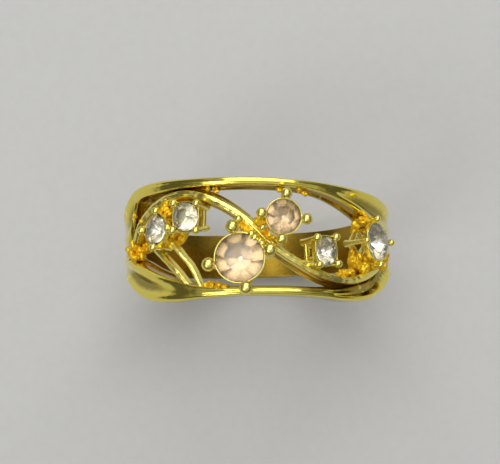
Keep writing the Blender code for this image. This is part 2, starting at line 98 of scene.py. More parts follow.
# Across the band: heights of the lower edge, lower ridge, valley, upper ridge and upper edge, then how far
# the ridges and the valley between them lie under the outer radius. Millimetres, at an angle in degrees.
UPPER_RAIL = [
    (-76, (0.35, 0.8, 1.9, 3.1, 3.45), (0.1, 0.3, 0)),
    (-69, (1.3, 1.65, 2.55, 3.6, 4.0), (0.1, 0.45, 0)),
    (-64, (2.8, 3.02, 3.4, 3.96, 4.3), (0.1, 0.15, 0)),
    (-59, (3.45, 3.63, 3.88, 4.2, 4.47), (0.05, 0, 0.03)),
    (-46, (3.65, 3.9, 4.14, 4.39, 4.63), (0.05, 0, 0.05)),
    (-28, (3.82, 4.0, 4.18, 4.37, 4.55), (0.05, 0, 0.05)),
    (0, (3.7, 3.87, 4.04, 4.21, 4.38), (0.05, 0, 0.05)),
    (18, (3.45, 3.61, 3.78, 3.94, 4.1), (0.05, 0, 0.05)),
    (28, (3.12, 3.3, 3.53, 3.74, 3.94), (0.04, 0, 0.04)),
    (38, (2.55, 2.78, 3.15, 3.5, 3.73), (0.02, 0.12, 0)),
    (50, (1.7, 2.0, 2.65, 3.22, 3.5), (0.05, 0.38, 0)),
    (60, (1.0, 1.3, 2.15, 3.0, 3.3), (0.1, 0.42, 0)),
    (68, (0.75, 1.05, 1.95, 2.76, 3.05), (0.1, 0.38, 0)),
    (76, (0.6, 0.9, 1.7, 2.48, 2.77), (0.08, 0.3, 0)),
]
LOWER_RAIL = [
    (-76, (-2.68, -2.4, -1.9, -1.15, -0.82), (0, 0.3, 0.05)),
    (-69, (-3.32, -3.0, -2.35, -1.5, -1.15), (0, 0.42, 0.05)),
    (-61, (-3.96, -3.6, -2.85, -1.88, -1.52), (0, 0.45, 0.05)),
    (-50, (-4.48, -4.12, -3.38, -2.58, -2.2), (0, 0.34, 0.05)),
    (-38, (-4.63, -4.32, -3.82, -3.25, -2.9), (0, 0.14, 0.03)),
    (-27, (-4.55, -4.3, -4.02, -3.75, -3.5), (0.04, 0, 0.04)),
    (-12, (-4.46, -4.3, -4.13, -3.96, -3.8), (0.05, 0, 0.05)),
    (0, (-4.48, -4.33, -4.18, -4.03, -3.88), (0.05, 0, 0.05)),
    (13, (-4.58, -4.42, -4.27, -4.11, -3.95), (0.05, 0, 0.05)),
    (28, (-4.76, -4.59, -4.42, -4.24, -4.07), (0.05, 0.02, 0.1)),
    (38, (-4.97, -4.75, -4.48, -4.2, -3.95), (0, 0.22, 0.42)),
    (50, (-4.95, -4.68, -4.3, -3.9, -3.62), (0, 0.42, 0.48)),
    (60, (-4.52, -4.24, -3.8, -3.42, -3.2), (0, 0.45, 0.5)),
    (65, (-4.16, -3.86, -3.2, -2.5, -2.2), (0, 0.45, 0.25)),
    (70, (-3.75, -3.45, -2.7, -1.65, -1.3), (0, 0.42, 0.12)),
    (76, (-3.15, -2.85, -2.2, -1.3, -1.0), (0, 0.35, 0.1)),
]
# The same across the shank, with both rails' ridges and valleys on either side of its middle
BACK_HEIGHTS = (-1.8, -1.5, -1.05, -0.55, 0, 0.55, 1.05, 1.5, 1.8)
BACK_DROPS = (0.08, 0.04, 0.01, 0, 0.01, 0.04, 0.08)
SIDE_HEIGHTS = (-1.92, -1.6, -1.15, -0.6, 0, 0.6, 1.15, 1.6, 1.92)
SHANK = [
    (76, (-3.15, -2.85, -2.2, -1.3, -0.25, 0.9, 1.7, 2.48, 2.77), (0, 0.35, 0.1, 0.45, 0.08, 0.3, 0)),
    (84, (-2.78, -2.5, -1.95, -1.2, -0.2, 0.8, 1.5, 2.2, 2.52), (0.02, 0.2, 0.05, 0.22, 0.05, 0.18, 0.02)),
    (100, (-2.25, -1.95, -1.4, -0.8, 0, 0.8, 1.4, 1.95, 2.25), (0.08, 0.05, 0.02, 0, 0.02, 0.05, 0.08)),
    (125, SIDE_HEIGHTS, BACK_DROPS),
    *[(angle, BACK_HEIGHTS, BACK_DROPS) for angle in (145, 163, 180, 197, 215)],
    (235, SIDE_HEIGHTS, BACK_DROPS),
    (260, (-2.2, -1.9, -1.4, -0.8, 0, 0.8, 1.4, 2.0, 2.35), (0.08, 0.05, 0.02, 0, 0.02, 0.05, 0.08)),
    (276, (-2.4, -2.12, -1.7, -1.0, -0.15, 0.8, 1.7, 2.6, 2.95), (0.02, 0.18, 0.04, 0.22, 0.06, 0.18, 0.02)),
    (284, (-2.68, -2.4, -1.9, -1.15, -0.25, 0.8, 1.9, 3.1, 3.45), (0, 0.3, 0.05, 0.45, 0.1, 0.3, 0)),
]
# The cast plates beside the shoulders: angle, lower edge, upper edge
LEFT_FLOOR = [
    (-76, -0.55, 0.7), (-66, -0.5, 1.3), (-56, -0.35, 2.3), (-46, -0.25, 2.9), (-38, -0.2, 3.1),
    (-33, 0.7, 3.1),
]
RIGHT_FLOOR = [(49, -3.2, -1.6), (53, -3.2, 0.9), (60, -2.8, 0.9), (68, -1.9, 0.8), (76, -1.2, 0.7)]

# Centre lines of the wires: angle, height
VINE_ROUTE = [
    (-66, 0.45), (-59, 1.62), (-51, 2.52), (-41, 3.22), (-30, 3.4), (-17, 2.68), (-5, 1.28), (5, -0.58),
    (17, -2.1), (30, -3.18), (42, -3.45), (53, -3.06), (61, -2.5), (67, -1.85),
]
OUTER_STEM_ROUTE = [(-50.6, -0.3), (-43.6, -1.34), (-37.9, -2.25), (-31.4, -3.5)]
INNER_STEM_ROUTE = [(-41, 0.2), (-33.6, -1.25), (-29.4, -2.12), (-24.9, -3.65)]

# ---------------- sizes of the heads

TABLE_SHARE = 0.56
CROWN_ANGLE = math.radians(33)
PAVILION_ANGLE = math.radians(39)
GIRDLE_HALF = 0.04 * MM
CULET_SHARE = 0.08
FACETS = 8
STONE_SIDES = 96
CRISP_ANGLE = math.radians(12)
CRISP_SHARE = 0.12
BEVEL_SHARE = 0.016
GALLERY_CLEARANCE = 0.06 * MM
GALLERY_HEIGHT = 0.38 * MM
GALLERY_WALL = 0.5 * MM
GALLERY_STEPS = 96
BAR_SIDES = 12
BAR_BOXINESS = 0.55
FOOT_SHARE = 0.86
SEAT_WALL = 0.13 * MM
SEAT_HEIGHT = 0.46 * MM
SEAT_SQUARENESS = 0.17
STONE_CLEARANCE = 0.03 * MM
SOLDER_GAP = 0.04 * MM
BALL_RISE = 0.12 * MM
PRONGS = 4

# Radius of the stone, of a prong's shaft and of its ball
LARGE = (1.8 * MM, 0.25 * MM, 0.52 * MM)
MEDIUM = (1.27 * MM, 0.22 * MM, 0.42 * MM)
SIDE = (1.38 * MM, 0.21 * MM, 0.26 * MM)
SMALL = (1.05 * MM, 0.2 * MM, 0.31 * MM)

# Mounds of a cast plate: angle, height, rise, spread
LEFT_MOUNDS = [(-78, 0.1, 0.9, 0.8), (-72, 0.9, 0.3, 0.5), (-40, 2.6, 0.2, 0.4)]
RIGHT_MOUNDS = [(78, -0.3, 0.9, 0.8), (56, -2.4, 0.3, 0.5)]

# Casting flash and solder on a piece. A row: angle, height, radius, spread, how many beads, and their
# size. The beads of a "round" row are smooth and have the piece's own plate.
FLASH = [
    ("right_floor", [
        (48.5, -1.95, 10.05, 0.4, 10, 0.22), (52, -2.4, 10.15, 0.4, 14, 0.24),
        (55.5, -2.05, 10.25, 0.4, 12, 0.22), (60.5, -1.95, 10.4, 0.35, 8, 0.2),
        (65.5, -2.1, 10.5, 0.35, 8, 0.22), (70.5, -1.6, 10.45, 0.35, 8, 0.2),
        (47.8, 0.75, 10.2, 0.25, 6, 0.17), (51.5, 1.25, 10.2, 0.25, 6, 0.18),
        (54, 1.35, 10.3, 0.2, 4, 0.17), (57, 1.0, 10.4, 0.2, 4, 0.16),
    ]),
    ("vine", [
        (44, -2.78, 10.05, 0.28, 10, 0.15), (40.5, -2.88, 10.05, 0.28, 10, 0.14),
        (37, -2.98, 10.05, 0.25, 8, 0.12),
    ]),
    ("left_floor", [
        (-42.4, 2.65, 10.15, 0.25, 6, 0.19), (-40.2, 2.1, 10.15, 0.25, 6, 0.2),
        (-42, 1.6, 10.05, 0.25, 5, 0.18), (-39.3, 0.6, 10.05, 0.25, 6, 0.2),
        (-41.8, 0.1, 10.05, 0.25, 6, 0.2), (-39.5, -0.3, 10.05, 0.2, 5, 0.17),
        (-44.3, -0.2, 10.05, 0.2, 5, 0.16), (-58.4, 2.0, 10.2, 0.2, 4, 0.17),
        (-59.5, 1.3, 10.2, 0.2, 4, 0.16), (-68, 2.35, 10.15, 0.2, 5, 0.2),
        (-70, 0.0, 10.0, 0.4, 9, 0.26), (-70, -0.6, 10.0, 0.35, 8, 0.24),
        (-76, -0.3, 10.1, 0.3, 6, 0.2), (-24.3, 2.4, 10.2, 0.2, 3, 0.14),
    ]),
    ("upper_rail", [
        (10.6, 3.5, 10.0, 0.3, 6, 0.13), (18.6, 3.25, 10.1, 0.2, 6, 0.12),
        (21.3, 3.1, 10.1, 0.2, 5, 0.12), (-17.5, 3.65, 10.0, 0.25, 6, 0.12),
        (-21.6, 3.7, 10.0, 0.25, 6, 0.12),
    ]),
    ("lower_rail", [
        (-23, -3.55, 10.1, 0.25, 9, 0.14), (-20, -3.64, 10.1, 0.3, 12, 0.14),
        (-17, -3.7, 10.1, 0.3, 12, 0.14), (-13.5, -3.74, 10.1, 0.3, 10, 0.13),
    ]),
    ("vine", [
        (-1.8, 0.3, 10.2, 0.15, 3, 0.16), (1.2, -0.4, 10.2, 0.15, 3, 0.16),
    ]),
    ("right_gallery", [
        (26.1, -2.3, 10.2, 0.2, 8, 0.2), (22.5, -2.2, 10.1, 0.15, 6, 0.16),
    ]),
    ("vine", [
        (-6.0, 0.72, 10.2, 0.25, 7, 0.17), (-4.6, 0.44, 10.2, 0.25, 9, 0.17),
        (-3.4, 0.3, 10.3, 0.2, 6, 0.15), (-5.5, 1.0, 10.2, 0.15, 4, 0.15),
        (0.9, 1.02, 10.5, 0.22, 8, 0.16), (2.5, 0.95, 10.6, 0.15, 5, 0.14),
        (3.2, 0.25, 10.5, 0.2, 6, 0.15), (4.8, -0.05, 10.5, 0.2, 6, 0.15),
        (6.2, -0.28, 10.5, 0.15, 4, 0.14), (-7.2, 1.19, 10.4, 0.0, 1, 0.34, "round"),
        (-2.1, 0.02, 10.85, 0.0, 1, 0.29, "round"), (-0.8, -0.24, 10.85, 0.0, 1, 0.29, "round"),
        (1.2, -0.5, 10.85, 0.0, 1, 0.25, "round"), (2.0, -0.72, 10.85, 0.0, 1, 0.25, "round"),
        (2.5, 0.49, 10.75, 0.0, 1, 0.28, "round"),
    ]),
]
HOLES = {"left_floor": ("far_left", "left"), "right_floor": ("far_right",)}
HOLE_SHARE = 0.74  # of the stone's radius, for the hole under a head
HOLE_SIDES = 48
DRILL_LENGTH = 5 * MM
DRILL_DROP = 2 * MM
BEAD_STRETCH = (0.8, 1.7)
BEAD_LUMPS = 0.4
ROUND_LUMPS = 0.15

# Heads: name, size, the girdle's rise over the rails, its centre's angle and height, then yaw, pitch, the
# angle of the first prong and the turn of the stone's facets
HEADS = [
    ("far_left", SMALL, 0.45 * MM, -43.9, 0.9, -43.5, 7, -1, 10),
    ("left", SMALL, 0.45 * MM, -28.7, 1.6, -29.0, -2, 40, 25),
    ("centre_large", LARGE, 0.45 * MM, -7.0, -1.67, -6.2, 4, 11, 14),
    ("centre_medium", MEDIUM, 0.45 * MM, 10.8, 1.27, 10.8, 0, -8, 8),
    ("right", SMALL, 0.55 * MM, 27.8, -1.32, 44, 0, 48, 30),
    ("far_right", SIDE, 0.7 * MM, 55.0, -0.48, 55, 2, 0, 12),
]

# ---------------- numbers of the finish

NEVER = 9.0  # a depth or a height in millimetres that no place reaches
GROOVE_FADE = 0.36  # the depth in millimetres over which a valley's painted shade comes in
RECESS_ROUGHER = 0.14
CAST_RELIEF = 1.4
# CAST_TONE times the deep tone is the painted shade in the low spots of the cast skin.
CAST_TONE = 0.92
CAST_METALLIC = 0.7
CAST_ROUGHER = 0.1
CAST_LUMP_SHINE = 0.12
FOIL_BUMP = 0.004

# ---------------- shader node groups and materials


def node_group(name, inputs, outputs):
    """An empty shader group of named numbers, what is given to it, and its output node."""
    group = bpy.data.node_groups.new(name, "ShaderNodeTree")
    for label, value in inputs:
        socket = group.interface.new_socket(name=label, in_out="INPUT", socket_type="NodeSocketFloat")
        socket.default_value = value
    for label in outputs:
        group.interface.new_socket(name=label, in_out="OUTPUT", socket_type="NodeSocketFloat")
    return group, group.nodes.new("NodeGroupInput").outputs, group.nodes.new("NodeGroupOutput")


def feed(tree, node, values):
    """Sets a node's inputs. A socket among the values is linked."""
    for key, value in values.items():
        if isinstance(value, bpy.types.NodeSocket):
            tree.links.new(value, node.inputs[key])
        else:
            node.inputs[key].default_value = value


def add_node(tree, kind, inputs=None, **settings):
    """The outputs of a new node with these settings and inputs."""
    node = tree.nodes.new(kind)
    for key, value in settings.items():
        setattr(node, key, value)
    feed(tree, node, inputs or {})
    return node.outputs


def math_node(tree, operation, a, b=0.0, c=0.0, clamp=False):
    return add_node(
        tree, "ShaderNodeMath", {0: a, 1: b, 2: c}, operation=operation, use_clamp=clamp
    )[0]


def vector_node(tree, operation, a, b=(0.0, 0.0, 0.0), **more):
    made = add_node(tree, "ShaderNodeVectorMath", {0: a, 1: b, **more}, operation=operation)
    return made["Value" if operation == "LENGTH" else "Vector"]


def noise_node(tree, where, scale, detail, **more):
    inputs = {"Vector": where, "Scale": scale, "Detail": detail, **more}
    return add_node(tree, "ShaderNodeTexNoise", inputs)[0]


def range_node(tree, value, low, high, more=(), **settings):
    inputs = {"Value": value, "From Min": low, "From Max": high, **dict(more)}
    return add_node(tree, "ShaderNodeMapRange", inputs, **settings)[0]


def blend_colours(tree, share, a, b):
    return add_node(tree, "ShaderNodeMix", {0: share, 6: a, 7: b}, data_type="RGBA")[2]


def millimetres(tree):
    """Object coordinates, in millimetres."""
    place = add_node(tree, "ShaderNodeTexCoord")["Object"]
    return vector_node(tree, "SCALE", place, Scale=1 / MM)


def axis_reach(tree, place):
    """How far a place is from the finger axis."""
    return vector_node(tree, "LENGTH", vector_node(tree, "MULTIPLY", place, (1.0, 0.0, 1.0)))


def polish_group():
    """Marks of the polishing wheel: faint waves, fine scratches and a few pits."""
    group, given, result = node_group(
        "polish_marks",
        [("Wave Scale", 1.4), ("Scratch Scale", 9.0), ("Pit Amount", 0.3), ("Roughness", 0.16)],
        ["Height", "Roughness"],
    )
    where = millimetres(group)
    calc = partial(math_node, group)
    wave = noise_node(group, where, given["Wave Scale"], 2.0, Roughness=0.45)
    along = add_node(group, "ShaderNodeMapping", {"Vector": where, "Scale": (0.5, 5.0, 0.5)})
    scratch = noise_node(group, along[0], given["Scratch Scale"], 3.0)
    pits = add_node(group, "ShaderNodeTexVoronoi", {"Vector": where, "Scale": 3.2, "Randomness": 1.0})
    pit = calc("SUBTRACT", 0.12, pits["Distance"], clamp=True)
    pit = calc("MULTIPLY", pit, given["Pit Amount"])
    height = calc("MULTIPLY_ADD", scratch, 0.06, wave)
    height = calc("MULTIPLY_ADD", pit, -3.0, height)
    spread = calc("MULTIPLY_ADD", scratch, 0.3, 0.85)
    rough = calc("MULTIPLY", given["Roughness"], spread)
    rough = calc("MULTIPLY_ADD", pit, 1.5, rough, clamp=True)
    feed(group, result, {"Height": height, "Roughness": rough})
    return group


def recess_group():
    """The walls deep in the openwork: 1 there, 0 on the face, the inner lips and the outer sides. The gold
    materials paint shade there with it.
    """
    depths = [("Start Depth", 0.5), ("Full Depth", 0.95), ("Clear Depth", 1.1)]
    group, given, result = node_group(
        "recess_mask", [*depths, ("Side Height", NEVER), ("Ragged", 0.2)], ["Mask"]
    )
    where = millimetres(group)
    calc = partial(math_node, group)
    reach = axis_reach(group, where)
    spot = add_node(group, "ShaderNodeSeparateXYZ", {0: where})
    behind = calc("DIVIDE", spot["Z"], calc("MULTIPLY", reach, -1.0))
    behind = calc("MAXIMUM", behind, 0.0)
    outside = calc(
        "MULTIPLY_ADD", behind, (BACK_THICKNESS - BAND_THICKNESS) / MM, OUTER_RADIUS / MM
    )
    depth = calc("SUBTRACT", outside, reach)
    grain = calc("SUBTRACT", noise_node(group, where, 2.5, 3.0), 0.5)
    depth = calc("MULTIPLY_ADD", grain, given["Ragged"], depth)
    start, full = given["Start Depth"], given["Full Depth"]
    span = range_node(group, depth, start, full, interpolation_type="SMOOTHSTEP")
    past = calc("SUBTRACT", depth, given["Clear Depth"])
    keep = calc("MULTIPLY_ADD", past, -8.0, 1.0, clamp=True)
    facing = add_node(group, "ShaderNodeNewGeometry")["Normal"]
    facing = add_node(group, "ShaderNodeSeparateXYZ", {0: facing})["Y"]
    side = calc("MULTIPLY", spot["Y"], facing)
    side = calc("SUBTRACT", side, given["Side Height"])
    inside = calc("MULTIPLY_ADD", side, -2.5, 1.0, clamp=True)
    mask = calc("MULTIPLY", span, calc("MULTIPLY", keep, inside))
    feed(group, result, {"Mask": mask})
    return group


def crest_highlight_group():
    """Where the crests get a painted highlight: 1 on sharp outer edges and on the tops of balls."""
    group, given, result = node_group(
        "painted_crest_highlight", [("Start", 0.7), ("End", 0.8), ("Patchy", 0.5)], ["Mask"]
    )
    crest = add_node(group, "ShaderNodeNewGeometry")["Pointiness"]
    calc = partial(math_node, group)
    span = range_node(group, crest, given["Start"], given["End"])
    patches = noise_node(group, millimetres(group), 1.8, 3.0)
    keep = calc("MULTIPLY", patches, given["Patchy"])
    keep = calc("SUBTRACT", 1.0, keep, clamp=True)
    feed(group, result, {"Mask": calc("MULTIPLY", span, keep, clamp=True)})
    return group


def cast_group():
    """The skin of a casting that no wheel reaches: lumps with fine grain on them."""
    group, given, result = node_group(
        "cast_skin",
        [("Lump Scale", 4.0), ("Grain Scale", 16.0), ("Grain Share", 0.35)],
        ["Height", "Mask"],
    )
    where = millimetres(group)
    calc = partial(math_node, group)
    lumps = add_node(
        group, "ShaderNodeTexVoronoi",
        {"Vector": where, "Scale": given["Lump Scale"], "Smoothness": 0.6, "Randomness": 1.0},
        feature="SMOOTH_F1",
    )["Distance"]
    grain = noise_node(group, where, given["Grain Scale"], 4.0, Roughness=0.6)
    height = calc("MULTIPLY_ADD", grain, given["Grain Share"], lumps)
    mask = calc("MULTIPLY_ADD", height, 1.2, -0.2, clamp=True)
    feed(group, result, {"Height": height, "Mask": mask})
    return group


def place_group(tree, group, **values):
    inputs = {label.replace("_", " ").title(): value for label, value in values.items()}
    return add_node(tree, "ShaderNodeGroup", inputs, node_tree=group)


def empty_material(name):
    material = bpy.data.materials.new(name)
    material.use_nodes = True
    return material, material.node_tree, material.node_tree.nodes["Principled BSDF"]


def finish_metal(tree, shader, colour, rough, height, bump, metallic):
    """Links what a metal looks like to its shader. The bump is in millimetres."""
    lift = add_node(tree, "ShaderNodeBump", {"Height": height, "Distance": bump * MM, "Strength": 1.0})
    inputs = {"Base Color": colour, "Roughness": rough, "Normal": lift[0], "Metallic": metallic}
    feed(tree, shader, inputs)


def gold_material(name, groups, tones, roughness, wave, bump, recess, cast=None):
    """Gold plate. Tones: the face, the painted shade of its valleys, the painted shade of the deep
    recesses and the painted highlight on the crests. Recess, in millimetres: the depths where the
    deep painted shade starts, is full and ends, the depth where the valleys' painted shade starts, and
    the height of the outer sides, which have neither."""
    polish, recesses, highlight_marks, skin = groups
    material, tree, shader = empty_material(name)
    calc = partial(math_node, tree)
    face, groove_shade, deep, crest = [(*tone, 1.0) for tone in tones]
    marks = place_group(tree, polish, wave_scale=wave, roughness=roughness)
    start, full, clear, groove_start, side = recess
    hollow = place_group(
        tree, recesses, start_depth=start, full_depth=full, clear_depth=clear, side_height=side
    )
    crest_light_mask = place_group(tree, highlight_marks)
    groove_full = groove_start + GROOVE_FADE
    valley = place_group(
        tree, recesses, start_depth=groove_start, full_depth=groove_full, clear_depth=NEVER
    )
    # Painted shade: the valleys between the ridges take the darker groove tone.
    colour = blend_colours(tree, valley["Mask"], face, groove_shade)
    # Painted shade: the deep walls of the openwork take the dark deep tone.
    colour = blend_colours(tree, hollow["Mask"], colour, deep)
    # Painted highlight: the sharp crests take the paler crest tone.
    colour = blend_colours(tree, crest_light_mask["Mask"], colour, crest)
    height, rough = marks["Height"], marks["Roughness"]
    if cast:
        grain = place_group(tree, skin, **cast)
        height = calc("MULTIPLY_ADD", grain["Height"], CAST_RELIEF, height)
        # Painted shade: the low spots between the cast lumps take a darker share of the deep tone.
        low_spot_shade = tuple(CAST_TONE * part for part in deep[:3]) + (1.0,)
        colour = blend_colours(tree, grain["Mask"], low_spot_shade, colour)
        rough = calc("MULTIPLY_ADD", grain["Mask"], -CAST_LUMP_SHINE, rough)
        rough = calc("ADD", rough, CAST_ROUGHER, clamp=True)
    else:
        rough = calc(
            "MULTIPLY_ADD", hollow["Mask"], RECESS_ROUGHER, rough, clamp=True
        )
    finish_metal(tree, shader, colour, rough, height, bump, CAST_METALLIC if cast else 1.0)
    return material


def crystal_material(name, tone, cloud):
    """Machine-cut glass, with faint clouding inside and faint scuffs all over."""
    material, tree, shader = empty_material(name)
    where = millimetres(tree)
    colour = blend_colours(tree, noise_node(tree, where, 1.3, 3.0), (*tone, 1.0), (*cloud, 1.0))
    scuffs = noise_node(tree, where, 12.0, 4.0)
    rough = math_node(tree, "MULTIPLY_ADD", scuffs, 0.06, 0.0, clamp=True)
    feed(tree, shader, {"Base Color": colour, "Roughness": rough, "Transmission Weight": 1.0, "IOR": 1.6})
    return material


def foil_material(name, tone, shade, roughness):
    """The mirror foil behind a stone, a little crinkled."""
    material, tree, shader = empty_material(name)
    crinkle = noise_node(tree, millimetres(tree), 1.2, 1.0)
    colour = blend_colours(tree, crinkle, (*tone, 1.0), (*shade, 1.0))
    rough = math_node(tree, "MULTIPLY_ADD", crinkle, 0.1, roughness, clamp=True)
    finish_metal(tree, shader, colour, rough, crinkle, FOIL_BUMP, 1.0)
    return material


def floor_material():
    """A plain pale card."""
    material, tree, shader = empty_material("pale_card")
    tooth = noise_node(tree, millimetres(tree), 1.5, 3.0)
    colour = blend_colours(tree, tooth, (0.55, 0.55, 0.54, 1.0), (0.59, 0.59, 0.58, 1.0))
    feed(tree, shader, {"Base Color": colour, "Roughness": 0.7})
    return material


# ---------------- mesh helpers


def placed(name, data):
    """An object with this data, in the scene."""
    obj = bpy.data.objects.new(name, data)
    bpy.context.scene.collection.objects.link(obj)
    return obj


def add_piece(node, mesh, material, smooth_angle=40, finish="polished"):
    """A finished piece at the origin that rides on the ring and stands for this CAD node."""
    obj = placed(f"{node}_{finish}", mesh)
    if not mesh.materials:
        mesh.materials.append(material)
    if smooth_angle:
        mesh.shade_smooth()
        mesh.set_sharp_from_angle(angle=math.radians(smooth_angle))
    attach(obj, "root")
    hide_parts(node)
    return obj


def mesh_from(bm, name):
    mesh = bpy.data.meshes.new(name)
    bmesh.ops.recalc_face_normals(bm, faces=bm.faces)
    bm.to_mesh(mesh)
    bm.free()
    return mesh


def on_band(angle, height, radius):
    turn = math.radians(angle)
    return Vector((radius * math.sin(turn), height, radius * math.cos(turn)))


def outward(turn):
    return Vector((math.cos(turn), math.sin(turn), 0))


def smooth_rows(rows, steps, before=None, after=None):
    """A Catmull-Rom curve through rows of numbers, read at evenly spaced places."""
    rows = np.array(rows, float)
    first = rows[0] * 2 - rows[1] if before is None else np.array(before, float)
    last = rows[-1] * 2 - rows[-2] if after is None else np.array(after, float)
    rows = np.vstack([first, rows, last])
    place = np.linspace(0, len(rows) - 3, steps + 1)
    span = np.minimum(place.astype(int), len(rows) - 4)
    t = (place - span)[:, None]
    a, b, c, d = (rows[span + k] for k in range(4))
    return b + 0.5 * ((c - a) * t + (2 * a - 5 * b + 4 * c - d) * t**2 + (3 * b - a - 3 * c + d) * t**3)


def flat_row(row):
    return [row[0], *row[1], *row[2]]


def soften(path, corners, reach):
    """A closed outline with the corners at these places rounded off."""
    made = []
    for k, here in enumerate(path):
        if k not in corners:
            made.append(here)
            continue
        before, after = path[k - 1], path[(k + 1) % len(path)]
        arms = []
        for other in (before, after):
            length = math.dist(here, other)
            share = min(0.45, reach / length) if length else 0
            arms.append([h + (o - h) * share for h, o in zip(here, other)])
        for step in range(5):
            t = step / 4
            weights = ((1 - t) ** 2, 2 * t * (1 - t), t * t)
            points = (arms[0], here, arms[1])
            made.append(tuple(sum(w * p[axis] for w, p in zip(weights, points)) for axis in range(2)))
    return made


def banded_section(heights, drops, outer, span_steps, lip_below, lip_above, root=0.0, lip=LIP_THICKNESS):
    """Across the band, (height, radius) pairs: inner lips, straight sides and a ridged outer face."""
    drops = [drops[0] + CROWN_HEIGHT, *drops, drops[-1] + CROWN_HEIGHT]
    lower, upper, last = heights[0], heights[-1], len(heights) - 2
    face = []
    for span in range(len(heights) - 1):
        for step in range(span_steps):
            t = step / span_steps
            if span == 0:
                share, t = math.sin(t * math.pi / 2), 1 - math.cos(t * math.pi / 2)
            elif span == last:
                share, t = 1 - math.cos(t * math.pi / 2), math.sin(t * math.pi / 2)
            else:
                share = t * t * (3 - 2 * t)
            height = heights[span] + (heights[span + 1] - heights[span]) * t
            face.append((height, outer - drops[span] - (drops[span + 1] - drops[span]) * share))
    face.append((upper, outer - drops[-1]))
    bore = BORE_RADIUS + root
    below = [(lower - lip_below, bore), (lower - lip_below, bore + lip), (lower, bore + 2 * lip)]
    above = [(upper, bore + 2 * lip), (upper + lip_above, bore + lip), (upper + lip_above, bore)]
    path = below + face + above
    count = len(path)
    return soften(path, {0, 1, 2, count - 3, count - 2, count - 1}, EDGE_ROUND)


def loft(name, rings):
    """A closed solid through closed sections, with both ends capped."""
    bm = bmesh.new()
    loops = [[bm.verts.new(point) for point in ring] for ring in rings]
    for near, far in zip(loops, loops[1:]):
        for k in range(len(near)):
            after = (k + 1) % len(near)
            bm.faces.new((near[k], near[after], far[after], far[k]))
    bm.faces.new(loops[0])
    bm.faces.new(reversed(loops[-1]))
    return mesh_from(bm, name)


def band_outer(angle):
    return OUTER_RADIUS - (BAND_THICKNESS - BACK_THICKNESS) * max(0.0, -math.cos(math.radians(angle)))


def band_loft(name, rows, steps, across, span_steps, lips, before, after, reach=0.0):
    """A length of the band whose section changes round it. It runs on past its ends by reach degrees."""
    read = smooth_rows([flat_row(row) for row in rows], steps, before, after)
    read[0][0] -= reach
    read[-1][0] += reach
    rings = []
    for row in read:
        angle = row[0]
        heights = [value * MM for value in row[1 : across + 1]]
        drops = [max(value, 0) for value in row[across + 1 :]]
        drops = [drop * MM * (1 + VALLEY_DEEPER * min(1, drop / VALLEY_FULL)) for drop in drops]
        section = banded_section(heights, drops, band_outer(angle), span_steps, *lips)
        rings.append([on_band(angle, side, hammered(angle, side, radius)) for side, radius in section])
    return loft(name, rings)


def hammered(angle, height, radius, lumps=0.014 * MM):
    """The radius with the wax carver's faint lumps, which fade out towards the finger hole."""
    spot = Vector((angle * DEGREE_LENGTH, height / MM, 3.0))
    lift = noise.noise(spot * 1.1) + 0.5 * noise.noise(spot * 2.6)
    return radius + lumps * lift * min(1, (radius - BORE_RADIUS) / MM)


def wire_loft(name, route, steps, width, dip, lips, lumps, span_steps=7):
    """A wire along a route on the band, with its sections square to the route and hammered lumps."""
    arc = math.radians(1) * OUTER_RADIUS
    line = smooth_rows([(angle * arc, height * MM) for angle, height in route], steps)
    rings = []
    for k, here in enumerate(line):
        step = line[min(k + 1, steps)] - line[max(k - 1, 0)]
        along = step / np.linalg.norm(step)
        swell = 1 + WIRE_SWELL * math.sin(0.9 * k / steps * len(route) * math.pi)
        heights = [width * swell * share for share in (-0.5, -0.25, 0, 0.25, 0.5)]
        drops = (WIRE_DOME, 0, WIRE_DOME)
        outer, (side_lip, *under) = OUTER_RADIUS - dip, lips
        section = banded_section(heights, drops, outer, span_steps, side_lip, side_lip, *under)
        ring = []
        for side, radius in section:
            place = here + np.array((-along[1], along[0])) * side
            angle = place[0] / arc
            ring.append(on_band(angle, place[1], hammered(angle, place[1], radius, lumps)))
        rings.append(ring)
    return loft(name, rings)


def cast_floor(name, rows, mounds, steps, across, seed):
    """A cast plate on the finger hole's cylinder. Its top rises in mounds: angle, height, rise, spread."""
    arc = math.radians(1) * OUTER_RADIUS
    read = smooth_rows(rows, steps)
    shift = Vector((seed * 7.3, seed * 1.7, seed * 3.1))
    rings = []
    for k, (angle, lower, upper) in enumerate(read):
        top, turned_edge = [], min(k, steps - k) / steps
        for j in range(across + 1):
            share = j / across
            height = (lower + (upper - lower) * share) * MM
            rise = FLOOR_LEVEL
            for mound_angle, mound_height, mound_rise, spread in mounds:
                away = ((angle - mound_angle) * arc / MM) ** 2 + (height / MM - mound_height) ** 2
                rise += mound_rise * MM * math.exp(-away / spread**2)
            place = on_band(angle, height, BORE_RADIUS + rise) / MM
            ripple = noise.noise(place * 2.2 + shift) + 0.55 * noise.noise(place * 5.3 + shift)
            rise += FLOOR_RIPPLE * ripple * MM
            edge = min(share, 1 - share, turned_edge * 2.5)
            rise *= 0.55 + 0.45 * min(1, edge * 8)
            wander = FLOOR_WANDER * noise.noise(place * 1.7 + shift * 2)
            top.append(on_band(angle, height + wander, BORE_RADIUS + min(rise, BAND_THICKNESS)))
        base = [on_band(angle, side * MM, BORE_RADIUS + FLOOR_UNDERSIDE) for side in (upper, lower)]
        rings.append(top + base)
    return loft(name, rings)


def head_place(spec):
    """A head's own frame: its origin at the middle of the girdle, Z out through the table."""
    rise, angle, height, yaw, pitch = spec[2:7]
    turned = Euler((-math.radians(pitch), math.radians(yaw), 0))
    return Matrix.LocRotScale(on_band(angle, height * MM, OUTER_RADIUS + rise), turned, None)


